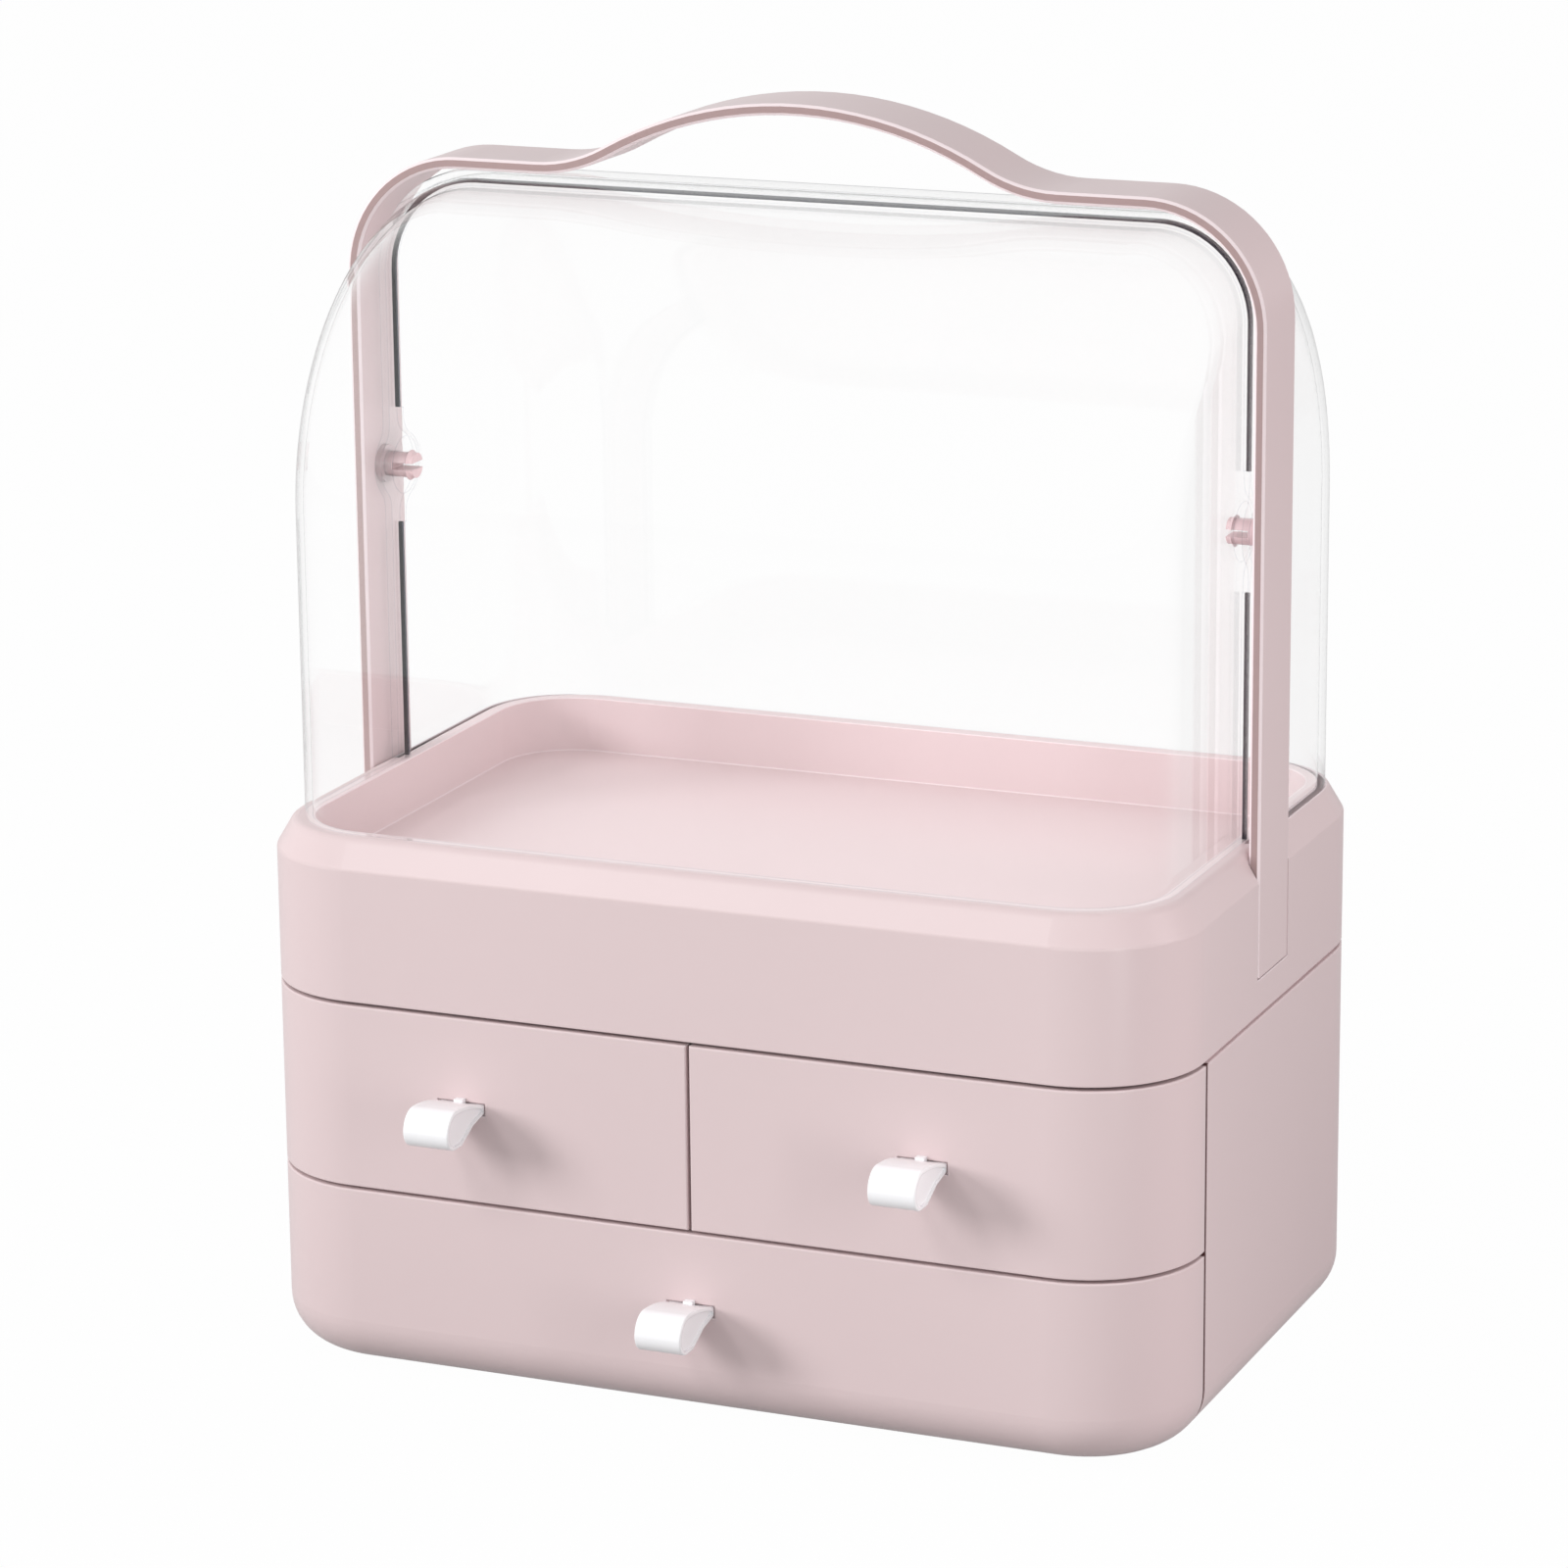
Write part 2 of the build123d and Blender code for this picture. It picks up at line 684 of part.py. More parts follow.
# ---- screws and feet ----------------------------------------------------
def upright_screws(points, z_head, length):
    # screws driven upwards: the head hangs below z_head, the shank goes up
    r = head_r
    z0 = z_head - head_t
    with BuildPart() as s:
        add(posts(points, r, z0, z_head))
        add(posts(points, screw_d / 2, z_head, z_head + length))
        with BuildSketch(Plane.XY.offset(z0)):
            with Locations(*points):
                Rectangle(1.2 * r, cross_w)
                Rectangle(cross_w, 1.2 * r)
        extrude(amount=head_t / 2, mode=Mode.SUBTRACT)
    return s.part


def handle_screws():
    x_head = handle_in - pad_t
    x_end = handle_in + handle_t * 0.7 - 0.3
    with BuildPart() as s:
        add(bars(handle_holes, head_r, x_head - head_t, x_head))
        add(bars(handle_holes, screw_d / 2, x_head, x_end))
        add(bars(handle_holes, head_r, -x_head, head_t - x_head))
        add(bars(handle_holes, screw_d / 2, -x_end, -x_head))
    return s.part


def pull_screw(low):
    x, z, z_screw = pull_place(low)
    y_head = y_front + front_t + tub_t
    place = [(x, z_screw)]
    with BuildPart() as s:
        add(spikes(place, pull_head_r, y_head, y_head + head_t))
        add(spikes(place, pull_screw_d / 2, y_front - screw_bite + 0.3, y_head))
        with BuildSketch(Plane.XZ.offset(-y_head - head_t)):
            with Locations(*place):
                Rectangle(1.2 * pull_head_r, cross_w)
                Rectangle(cross_w, 1.2 * pull_head_r)
        extrude(amount=head_t / 2, mode=Mode.SUBTRACT)
    return s.part


# ---- write one file for each piece --------------------------------------
def save(name, thing):
    placed = Pos(0, pull_out / 2, 0) * thing
    placed.label = name
    export_step(placed, "parts/" + name + ".step")


os.makedirs("parts", exist_ok=True)

save("cabinet_shell", cabinet_shell())
save("base_plate", base_plate())
save("drawer_shelf", drawer_shelf())
save("centre_divider", centre_divider())
save("rubber_feet", posts(foot_places, foot_d / 2, 0, foot_h))
save("base_screws", upright_screws(base_holes, z_base + head_t, wall - head_t + base_t * 0.7))
save("top_tray", top_tray())
save("tray_screws", upright_screws(tray_holes, z_flange, wall + screw_bite))
save("handle", handle())
save("handle_screws", handle_screws())
save("cover_pin_left", cover_pin(-1))
save("cover_pin_right", cover_pin(1))
save("rear_cover", rear_cover())
save("front_cover", front_cover())
save("front_cover_seal", front_cover_seal())

low_front = drawer_front(True)
low_tub = drawer_tub(True)
save("lower_drawer_front", low_front)
save("lower_drawer_tub", low_tub)
save("lower_drawer_pull", drawer_pull(True))
save("lower_pull_screw", pull_screw(True))

right_front = drawer_front(False)
right_tub = drawer_tub(False)
right_pull = drawer_pull(False)
right_screw = pull_screw(False)
save("right_drawer_front", right_front)
save("right_drawer_tub", right_tub)
save("right_drawer_pull", right_pull)
save("right_pull_screw", right_screw)

save("left_drawer_front", mirror(right_front, about=Plane.YZ))
save("left_drawer_tub", mirror(right_tub, about=Plane.YZ))
save("left_drawer_pull", mirror(right_pull, about=Plane.YZ))
save("left_pull_screw", mirror(right_screw, about=Plane.YZ))
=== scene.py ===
# %% [markdown]
# # A make-up case in moulded plastic
#
# The case is a small piece of bathroom furniture: two storeys of drawers, a tray for
# bottles, a clear two-piece cover over the tray and a flat strap handle over that.
# Its shape comes ready from the CAD model, to the tenth of a millimetre. What Blender
# adds is the look: plastics, screws, feet, light and a camera.

# %% Load the CAD model
import json
import math

import bmesh
import bpy
from mathutils import Matrix, Vector


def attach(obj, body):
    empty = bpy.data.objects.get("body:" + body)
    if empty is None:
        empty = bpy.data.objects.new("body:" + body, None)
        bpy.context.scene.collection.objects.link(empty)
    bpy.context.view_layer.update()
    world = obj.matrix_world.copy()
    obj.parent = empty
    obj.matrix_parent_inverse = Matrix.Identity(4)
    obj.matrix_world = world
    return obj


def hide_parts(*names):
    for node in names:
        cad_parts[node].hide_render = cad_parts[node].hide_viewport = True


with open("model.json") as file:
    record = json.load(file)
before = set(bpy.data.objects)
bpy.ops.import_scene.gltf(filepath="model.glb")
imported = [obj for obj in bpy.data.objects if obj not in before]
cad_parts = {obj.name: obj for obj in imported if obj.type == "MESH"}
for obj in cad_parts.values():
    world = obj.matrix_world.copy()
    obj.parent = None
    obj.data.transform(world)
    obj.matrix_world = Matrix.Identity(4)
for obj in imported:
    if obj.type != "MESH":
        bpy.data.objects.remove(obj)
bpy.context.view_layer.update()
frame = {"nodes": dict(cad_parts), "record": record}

MM = 0.001
nodes = frame["nodes"]
print("CAD pieces:", len(nodes))

# %% [markdown]
# ## Colours
#
# A colour picked on a screen is an sRGB value. Shaders calculate with light, so they
# need the linear value. One function turns the usual hex notation into that.


# %% Colours from hex
def linear(hex_colour):
    channels = [int(hex_colour[i : i + 2], 16) / 255 for i in (1, 3, 5)]
    light = [c / 12.92 if c <= 0.04045 else ((c + 0.055) / 1.055) ** 2.4 for c in channels]
    return (*light, 1.0)


PINK = "#DBC8C9"
# paler pink, painted on edges and chamfers as highlights
PINK_HIGHLIGHT = "#F0E2E4"
# darker, redder pink painted on the strap's narrow faces as shade
PINK_STRIP_SHADE = "#AA9291"
# dark colour painted into the side seams as shade
PINK_SEAM_SHADE = "#5C3A3A"
PINK_PIN = "#DCC2C4"
PULL_WHITE = "#FAFAFC"
print("pink, linear:", [round(c, 3) for c in linear(PINK)])

# %% [markdown]
# ## One helper for all node trees
#
# Materials and Geometry Nodes are both trees of nodes. A single function adds a node:
# its settings are keywords, and its inputs are a dictionary whose values are either
# plain numbers or the outputs of other nodes.


# %% Helper that adds a node
def add_node(tree, kind, inputs=None, **settings):
    node = tree.nodes.new(kind)
    for name, value in settings.items():
        setattr(node, name, value)
    for name, value in (inputs or {}).items():
        socket = node.inputs[name]
        if isinstance(value, bpy.types.NodeSocket):
            tree.links.new(value, socket)
        else:
            socket.default_value = value
    return node


def new_material(name):
    material = bpy.data.materials.new(name)
    material.use_nodes = True
    material.node_tree.nodes.clear()
    return material


def finish_material(material, shader):
    output = add_node(material.node_tree, "ShaderNodeOutputMaterial")
    material.node_tree.links.new(shader, output.inputs["Surface"])
    return material


# %% [markdown]
# ## The moulded plastics
#
# The case, tray, drawers and handle are ABS, injection moulded in a polished steel tool.
# Three things tell the eye so: a soft, not mirror-like gloss; a very shallow waviness in
# that gloss, a few millimetres wide, where the plastic shrank; and edges that are never
# quite sharp.
#
# Over the even pink lie up to two thin layers of another colour, painted highlights or
# painted shade, each with a mask that says where. A mask is a few nodes that end in a
# number from 0 to 1. Each one is a function of the tree and its coordinates, and a plastic
# is given the list of its layers.
#
# The first mask finds edges. The Bevel node averages the normals within about a
# millimetre, and where its normal leaves the true one there is an edge. There a paler
# colour is painted on as a highlight, a fine line beside every seam: full on edges that
# look up, weaker on upright ones and none on edges that look down.

# %% Masks for edges
HIGHLIGHT_WIDTH = 0.9 * MM


def edge_mask(tree, edges, softest, sharpest):
    # 0 on a face and 1 at an edge, where the Bevel node's normal leaves the true one
    true_normal = add_node(tree, "ShaderNodeNewGeometry").outputs["Normal"]
    agree = add_node(
        tree,
        "ShaderNodeVectorMath",
        {0: edges.outputs["Normal"], 1: true_normal},
        operation="DOT_PRODUCT",
    )
    mask = add_node(
        tree,
        "ShaderNodeMapRange",
        {"Value": agree.outputs["Value"], "From Min": softest, "From Max": sharpest},
    )
    return mask.outputs["Result"]


# painted highlight: a paler colour on edges, strongest where they look up
def painted_edge_highlights(tree, coordinates):
    around = add_node(tree, "ShaderNodeBevel", {"Radius": HIGHLIGHT_WIDTH}, samples=8)
    upward = add_node(tree, "ShaderNodeSeparateXYZ", {"Vector": around.outputs["Normal"]})
    lit = add_node(
        tree,
        "ShaderNodeMapRange",
        {"Value": upward.outputs["Z"], "From Min": -0.2, "From Max": 0.3},
    )
    highlight = add_node(
        tree,
        "ShaderNodeMath",
        {0: edge_mask(tree, around, 0.99, 0.93), 1: lit.outputs["Result"]},
        operation="MULTIPLY",
    )
    return highlight.outputs[0]


# %% [markdown]
# The strap of the handle is a thin flange. Its narrow front and back faces are given a
# darker, redder colour as painted shade, and the chamfer between a narrow and a wide face
# a paler one as a painted highlight. The way a face looks tells them from the wide faces,
# so these masks read the normal. The narrow faces look straight forward or back.


# %% Masks for the strap
def looking_forward(tree, coordinates, least, most):
    # rises from 0 to 1 as a face turns to look straight forward or back
    facing = add_node(tree, "ShaderNodeSeparateXYZ", {"Vector": coordinates.outputs["Normal"]})
    forward = add_node(tree, "ShaderNodeMath", {0: facing.outputs["Y"]}, operation="ABSOLUTE")
    share = add_node(
        tree,
        "ShaderNodeMapRange",
        {"Value": forward.outputs[0], "From Min": least, "From Max": most},
    )
    return share.outputs["Result"]


# painted highlight: the chamfers get the paler colour
def strap_chamfers(tree, coordinates):
    return looking_forward(tree, coordinates, 0.4, 0.6)


# painted shade: the narrow faces get the darker, redder colour
def strap_narrow_faces(tree, coordinates):
    return looking_forward(tree, coordinates, 0.8, 0.95)


# %% [markdown]
# The upright seams at the sides, between the drawer fronts and the shell, are looked
# into at a slant, and what shows is the shell's rounded edge. On the real case they look
# dark, because hardly any light gets in; here that shade is painted on as a dark colour.
# The Ambient Occlusion node measures how much a point sees of its surroundings within a
# few millimetres. Two ranges of the point's own coordinates keep the painted shade to
# these two seams.

# %% Mask for the painted shade in the side seams
SEAM_REACH = 4 * MM
SEAM_PLACE = -48.5 * MM  # front to back
SEAM_HALF = 1.2 * MM  # half the width, rounded edges included
SEAM_FADE = 0.6 * MM
SEAM_TOP = 128 * MM  # above the seam under the tray, below the tray's floor


# painted shade: darkens the two side seams where a point sees little of its surroundings
def side_seam_shade(tree, coordinates):
    open_sky = add_node(tree, "ShaderNodeAmbientOcclusion", {"Distance": SEAM_REACH}, samples=8)
    shut = add_node(
        tree,
        "ShaderNodeMapRange",
        {"Value": open_sky.outputs["AO"], "From Min": 0.97, "From Max": 0.8},
    )
    offset = add_node(
        tree,
        "ShaderNodeVectorMath",
        {0: coordinates.outputs["Object"], 1: (0, SEAM_PLACE, 0)},
        operation="SUBTRACT",
    )
    apart = add_node(tree, "ShaderNodeSeparateXYZ", {"Vector": offset.outputs["Vector"]})
    away = add_node(tree, "ShaderNodeMath", {0: apart.outputs["Y"]}, operation="ABSOLUTE")
    near = add_node(
        tree,
        "ShaderNodeMapRange",
        {"Value": away.outputs[0], "From Min": SEAM_HALF + SEAM_FADE, "From Max": SEAM_HALF},
    )
    below = add_node(
        tree,
        "ShaderNodeMapRange",
        {"Value": apart.outputs["Z"], "From Min": SEAM_TOP + 1 * MM, "From Max": SEAM_TOP},
    )
    share = shut.outputs["Result"]
    for limit in (near, below):
        share = add_node(
            tree, "ShaderNodeMath", {0: share, 1: limit.outputs["Result"]}, operation="MULTIPLY"
        ).outputs[0]
    return share


# %% [markdown]
# The plastic itself: its gloss and its pigment differ a little from place to place, and
# shallow waves lie over edges that the Bevel node rounds. Product photographers put a
# polarising filter on the lens, which weakens mirror images in plastic, so the specular
# level is 0.25 instead of the usual 0.5.

# %% Moulded plastic
GLOSS_PATCHES = 40 * MM
PIGMENT_PATCHES = 90 * MM
SINK_WAVES = 5 * MM
SINK_DEPTH = 0.1 * MM
SINK_STRENGTH = 0.012


def moulded_plastic(name, colour, roughness, edge=0.45 * MM, layers=()):
    material = new_material(name)
    tree = material.node_tree
    coordinates = add_node(tree, "ShaderNodeTexCoord")
    place = coordinates.outputs["Object"]
    patches = add_node(
        tree, "ShaderNodeTexNoise", {"Vector": place, "Scale": 1 / GLOSS_PATCHES, "Detail": 3.0}
    )
    gloss = add_node(
        tree,
        "ShaderNodeMapRange",
        {"Value": patches.outputs["Fac"], "To Min": roughness - 0.03, "To Max": roughness + 0.03},
    )
    pigment = add_node(
        tree, "ShaderNodeTexNoise", {"Vector": place, "Scale": 1 / PIGMENT_PATCHES, "Detail": 2.0}
    )
    shade = add_node(
        tree,
        "ShaderNodeMapRange",
        {"Value": pigment.outputs["Fac"], "To Min": 0.985, "To Max": 1.015},
    )
    tint = add_node(
        tree,
        "ShaderNodeHueSaturation",
        {"Color": linear(colour), "Value": shade.outputs["Result"]},
    ).outputs["Color"]
    for mask, over in layers:
        tint = add_node(
            tree,
            "ShaderNodeMix",
            {0: mask(tree, coordinates), 6: tint, 7: linear(over)},
            data_type="RGBA",
        ).outputs[2]
    edges = add_node(tree, "ShaderNodeBevel", {"Radius": edge}, samples=8)
    waves = add_node(
        tree, "ShaderNodeTexNoise", {"Vector": place, "Scale": 1 / SINK_WAVES, "Detail": 1.0}
    )
    bump = add_node(
        tree,
        "ShaderNodeBump",
        {
            "Height": waves.outputs["Fac"],
            "Normal": edges.outputs["Normal"],
            "Distance": SINK_DEPTH,
            "Strength": SINK_STRENGTH,
        },
    )
    plastic = add_node(
        tree,
        "ShaderNodeBsdfPrincipled",
        {
            "Base Color": tint,
            "Roughness": gloss.outputs["Result"],
            "IOR": 1.53,
            "Specular IOR Level": 0.25,
            "Normal": bump.outputs["Normal"],
        },
    )
    return finish_material(material, plastic.outputs["BSDF"])


# %% The five plastics
# layers of painted light: highlights on edges and chamfers, shade in the side seams and on the
# strap's narrow faces
painted_edge_highlight = (painted_edge_highlights, PINK_HIGHLIGHT)
painted_seam_shade = (side_seam_shade, PINK_SEAM_SHADE)
painted_chamfer_highlight = (strap_chamfers, PINK_HIGHLIGHT)
painted_strip_shade = (strap_narrow_faces, PINK_STRIP_SHADE)
pink_abs = moulded_plastic(
    "pink ABS, moulded satin", PINK, 0.3, layers=[painted_edge_highlight, painted_seam_shade]
)
tub_abs = moulded_plastic("pink ABS, drawer tub", PINK, 0.42, layers=[painted_edge_highlight])
handle_abs = moulded_plastic(
    "pink ABS, handle strap", PINK, 0.3, edge=0.25 * MM, layers=[painted_chamfer_highlight, painted_strip_shade]
)
pin_abs = moulded_plastic("pink ABS, snap pin", PINK_PIN, 0.3, edge=0.2 * MM)
pull_abs = moulded_plastic("white ABS, moulded gloss", PULL_WHITE, 0.18, edge=0.4 * MM)
print("plastics:", [made.name for made in (pink_abs, tub_abs, handle_abs, pin_abs, pull_abs)])

# %% [markdown]
# ## The clear covers
#
# The covers are crystal polystyrene, 2.4 mm thick, with a polished surface. A Principled
# shader with full transmission would be the plain choice. But a thin parallel wall bends
# what is behind it far less than a solid block does, and where the eye looks along it,
# total reflection inside turns the wall black. So the covers are put together from two
# shaders: one that lets light through almost unbent, and one that mirrors. How much is
# mirrored follows Schlick's rule for an index of refraction of 1.59: five percent
# head-on, and all of it edge-on. The polarising filter takes most of the head-on share
# away again and keeps what lies behind the cover clear. The plastic shows its own cool
# grey only where the eye looks along it: in the folds of the outline, and half as much
# at the cut edges.
#
# Clear plastic in Cycles also throws a black shadow, because the paths of light through
# it are too hard to find. So the shadow rays, and only they, pass straight through.

# %% Clear polystyrene
POLARISED = 0.3  # what the filter leaves of the head-on mirror image
FOLD_START = 0.92  # one minus the cosine of about 85 degrees off the normal
CUT_SHARE = 0.5


def clear_plastic(name, ior, bend, grey, shade, edge):
    material = new_material(name)
    tree = material.node_tree
    edge_on = add_node(tree, "ShaderNodeLayerWeight", {"Blend": 0.5}).outputs["Facing"]
    fold = add_node(
        tree, "ShaderNodeMapRange", {"Value": edge_on, "From Min": FOLD_START, "From Max": 1.0}
    )
    edges = add_node(tree, "ShaderNodeBevel", {"Radius": edge}, samples=6)
    cut = add_node(
        tree,
        "ShaderNodeMath",
        {0: edge_mask(tree, edges, 0.98, 0.75), 1: CUT_SHARE},
        operation="MULTIPLY",
    )
    own = add_node(
        tree,
        "ShaderNodeMath",
        {0: fold.outputs["Result"], 1: cut.outputs[0]},
        operation="MAXIMUM",
    )
    tint = add_node(
        tree,
        "ShaderNodeMix",
        {0: own.outputs[0], 6: (1, 1, 1, 1), 7: linear(grey)},
        data_type="RGBA",
    )
    through = add_node(
        tree,
        "ShaderNodeBsdfRefraction",
        {"Color": tint.outputs[2], "Roughness": 0.0, "IOR": bend},
    )
    shine = add_node(tree, "ShaderNodeBsdfGlossy", {"Color": (1, 1, 1, 1), "Roughness": 0.02})
    head_on = POLARISED * ((ior - 1) / (ior + 1)) ** 2
    fifth = add_node(tree, "ShaderNodeMath", {0: edge_on, 1: 5.0}, operation="POWER")
    mirrored = add_node(
        tree, "ShaderNodeMapRange", {"Value": fifth.outputs[0], "To Min": head_on, "To Max": 1.0}
    )
    wall = add_node(
        tree,
        "ShaderNodeMixShader",
        {"Fac": mirrored.outputs["Result"], 1: through.outputs["BSDF"], 2: shine.outputs["BSDF"]},
    )
    passing = add_node(tree, "ShaderNodeBsdfTransparent", {"Color": linear(shade)})
    rays = add_node(tree, "ShaderNodeLightPath")
    both = add_node(
        tree,
        "ShaderNodeMixShader",
        {
            "Fac": rays.outputs["Is Shadow Ray"],
            1: wall.outputs["Shader"],
            2: passing.outputs["BSDF"],
        },
    )
    return finish_material(material, both.outputs["Shader"])


clear_styrene = clear_plastic(
    "clear polystyrene", ior=1.59, bend=1.003, grey="#D6DAE0", shade="#F8F8F9", edge=0.8 * MM
)

# %% [markdown]
# ## Seal, feet and screws
#
# The strip along the cover's rear edge is a soft dark thermoplastic rubber, smooth but not
# shiny. The feet are moulded rubber with a fine grain. The screws are zinc-plated
# steel: a metal, slightly rough and slightly blue.


# %% Rubber and steel
def soft_rubber(name, colour, roughness, grain_size):
    material = new_material(name)
    tree = material.node_tree
    place = add_node(tree, "ShaderNodeTexCoord").outputs["Object"]
    grain = add_node(
        tree, "ShaderNodeTexNoise", {"Vector": place, "Scale": 1 / grain_size, "Detail": 4.0}
    )
    bump = add_node(
        tree,
        "ShaderNodeBump",
        {"Height": grain.outputs["Fac"], "Distance": 0.05 * MM, "Strength": 0.3},
    )
    wear = add_node(
        tree,
        "ShaderNodeMapRange",
        {"Value": grain.outputs["Fac"], "To Min": roughness - 0.05, "To Max": roughness + 0.05},
    )
    rubber = add_node(
        tree,
        "ShaderNodeBsdfPrincipled",
        {
            "Base Color": linear(colour),
            "Roughness": wear.outputs["Result"],
            "IOR": 1.5,
            "Normal": bump.outputs["Normal"],
        },
    )
    return finish_material(material, rubber.outputs["BSDF"])


def plated_steel(name, colour):
    material = new_material(name)
    tree = material.node_tree
    place = add_node(tree, "ShaderNodeTexCoord").outputs["Object"]
    blotches = add_node(
        tree, "ShaderNodeTexNoise", {"Vector": place, "Scale": 1 / (1.5 * MM), "Detail": 3.0}
    )
    gloss = add_node(
        tree,
        "ShaderNodeMapRange",
        {"Value": blotches.outputs["Fac"], "To Min": 0.22, "To Max": 0.38},
    )
    steel = add_node(
        tree,
        "ShaderNodeBsdfPrincipled",
        {
            "Base Color": linear(colour),
            "Metallic": 1.0,
            "Roughness": gloss.outputs["Result"],
        },
    )
    return finish_material(material, steel.outputs["BSDF"])


seal_rubber = soft_rubber("dark seal, soft rubber", "#0C1630", 0.4, 0.8 * MM)
foot_rubber = soft_rubber("foot, black rubber", "#2B2A2B", 0.7, 0.6 * MM)
zinc_steel = plated_steel("screw, zinc-plated steel", "#C9CBD0")

# %% [markdown]
# ## Materials on the CAD pieces
#
# A CAD piece keeps its mesh and gets a better material in its own slot. The record's
# slot names say which finish each piece has.

# %% Hand out the materials
FINISHES = {
    "pink_plastic": pink_abs,
    "pink_tub": tub_abs,
    "handle_pink": handle_abs,
    "pin_pink": pin_abs,
    "clear_cover": clear_styrene,
    "dark_seal": seal_rubber,
    "white_pull": pull_abs,
    "foot_rubber": foot_rubber,
    "screw_steel": zinc_steel,
}
slot_of = {part["node"]: part["material_slot"] for part in frame["record"]["subparts"]}
for name, piece in nodes.items():
    for place in piece.material_slots:
        place.material = FINISHES[slot_of[name]]
print("finishes used:", sorted(set(slot_of.values())))

# %% [markdown]
# ## Screws and feet
#
# In the CAD model a screw is a flat round head on a plain shank, and a foot is a plain
# disc. Here the head is rounded to a pan head and the shank gets its rolled thread, and a
# foot gets its rounded edge and a ring groove. All of them are turned pieces: rings of
# points, stacked along the axis. A thread is such a stack too, only its radius also
# depends on the angle, so that the ridge climbs by one pitch each turn.

# %% Turned pieces
SIDES = 32


def turned_piece(name, rings):
    # a ring is a height and a radius, and the radius may be a function of the angle
    angles = [2 * math.pi * side / SIDES for side in range(SIDES)]
    points = []
    for height, radius in rings:
        for angle in angles:
            r = radius(angle) if callable(radius) else radius
            points.append((r * math.cos(angle), r * math.sin(angle), height))
    last = SIDES * (len(rings) - 1)
    faces = [tuple(reversed(range(SIDES))), tuple(range(last, last + SIDES))]
    for ring in range(len(rings) - 1):
        for side in range(SIDES):
            a = ring * SIDES + side
            b = ring * SIDES + (side + 1) % SIDES
            faces.append((a, b, b + SIDES, a + SIDES))
    mesh = bpy.data.meshes.new(name)
    mesh.from_pydata(points, [], faces)
    piece = bpy.data.objects.new(name, mesh)
    bpy.context.scene.collection.objects.link(piece)
    return piece


# %% [markdown]
# A pan head is a flat disc whose upper edge is a quarter turn of an ellipse. Below z = 0
# lies the head and above it the thread, which narrows to a blunt point in its last turn
# and a half.

# %% A pan-head screw
RINGS_PER_PITCH = 8
HEAD_STEPS = 6
HEAD_FLAT = 0.55  # of the head's radius
HEAD_RIM = 0.3  # of the head's height
THREAD_CORE = 0.78  # of the shank's radius
POINT_TURNS = 1.5
POINT_TIP = 0.35  # of the thread's radius


def pan_screw(name, head_radius, head_height, shank_radius, length, pitch):
    core = THREAD_CORE * shank_radius
    point = POINT_TURNS * pitch
    rings = []
    for step in range(HEAD_STEPS + 1):
        turn = math.pi / 2 * (1 - step / HEAD_STEPS)
        height = -head_height * (HEAD_RIM + (1 - HEAD_RIM) * math.sin(turn))
        rings.append((height, head_radius * (HEAD_FLAT + (1 - HEAD_FLAT) * math.cos(turn))))
    rings.append((0, head_radius))

    def thread(height):
        narrowing = min(1, POINT_TIP + (1 - POINT_TIP) * (length - height) / point)

        def radius(angle):
            ridge = 1 - abs(2 * ((height / pitch - angle / (2 * math.pi)) % 1) - 1)
            return narrowing * (core + (shank_radius - core) * ridge)

        return radius

    steps = round(length / pitch * RINGS_PER_PITCH)
    for step in range(steps + 1):
        height = length * step / steps
        rings.append((height, thread(height)))
    return turned_piece(name, rings)


# %% A foot
GROOVE = [(0, 0.45), (0.15, 0.5), (0.15, 0.6), (0, 0.65)]  # shares of the height and the radius
FOOT_EDGE = 0.35  # of the height
EDGE_STEPS = 5


def round_foot(name, radius, height):
    # a shallow ring groove in the sole, and a rounded lower edge
    rings = [(deep * height, out * radius) for deep, out in GROOVE]
    edge = FOOT_EDGE * height
    for step in range(EDGE_STEPS + 1):
        turn = math.pi / 2 * step / EDGE_STEPS
        rings.append((edge * (1 - math.cos(turn)), radius - edge * (1 - math.sin(turn))))
    rings.append((height, radius))
    return turned_piece(name, rings)


# %% [markdown]
# Where they go is read off the CAD model: `solids` finds the box of each separate solid
# in a node. A Geometry Nodes tree then sets a copy of the turned piece on each place,
# turned along that place's axis, and cuts the cross recess into the heads.

# %% Places from the CAD model
SAME_POINT = 0.001 * MM


def solids(node):
    # the box of each separate solid in a CAD node, as two corners
    mesh = bmesh.new()
    mesh.from_mesh(nodes[node].data)
    bmesh.ops.remove_doubles(mesh, verts=mesh.verts, dist=SAME_POINT)
    left = set(mesh.verts)
    boxes = []
    for start in mesh.verts:
        if start not in left:
            continue
        left.remove(start)
        found = [start]
        for corner in found:
            for edge in corner.link_edges:
                other = edge.other_vert(corner)
                if other in left:
                    left.remove(other)
                    found.append(other)
        low = Vector([min(v.co[axis] for v in found) for axis in range(3)])
        high = Vector([max(v.co[axis] for v in found) for axis in range(3)])
        boxes.append((low, high))
    mesh.free()
    return boxes


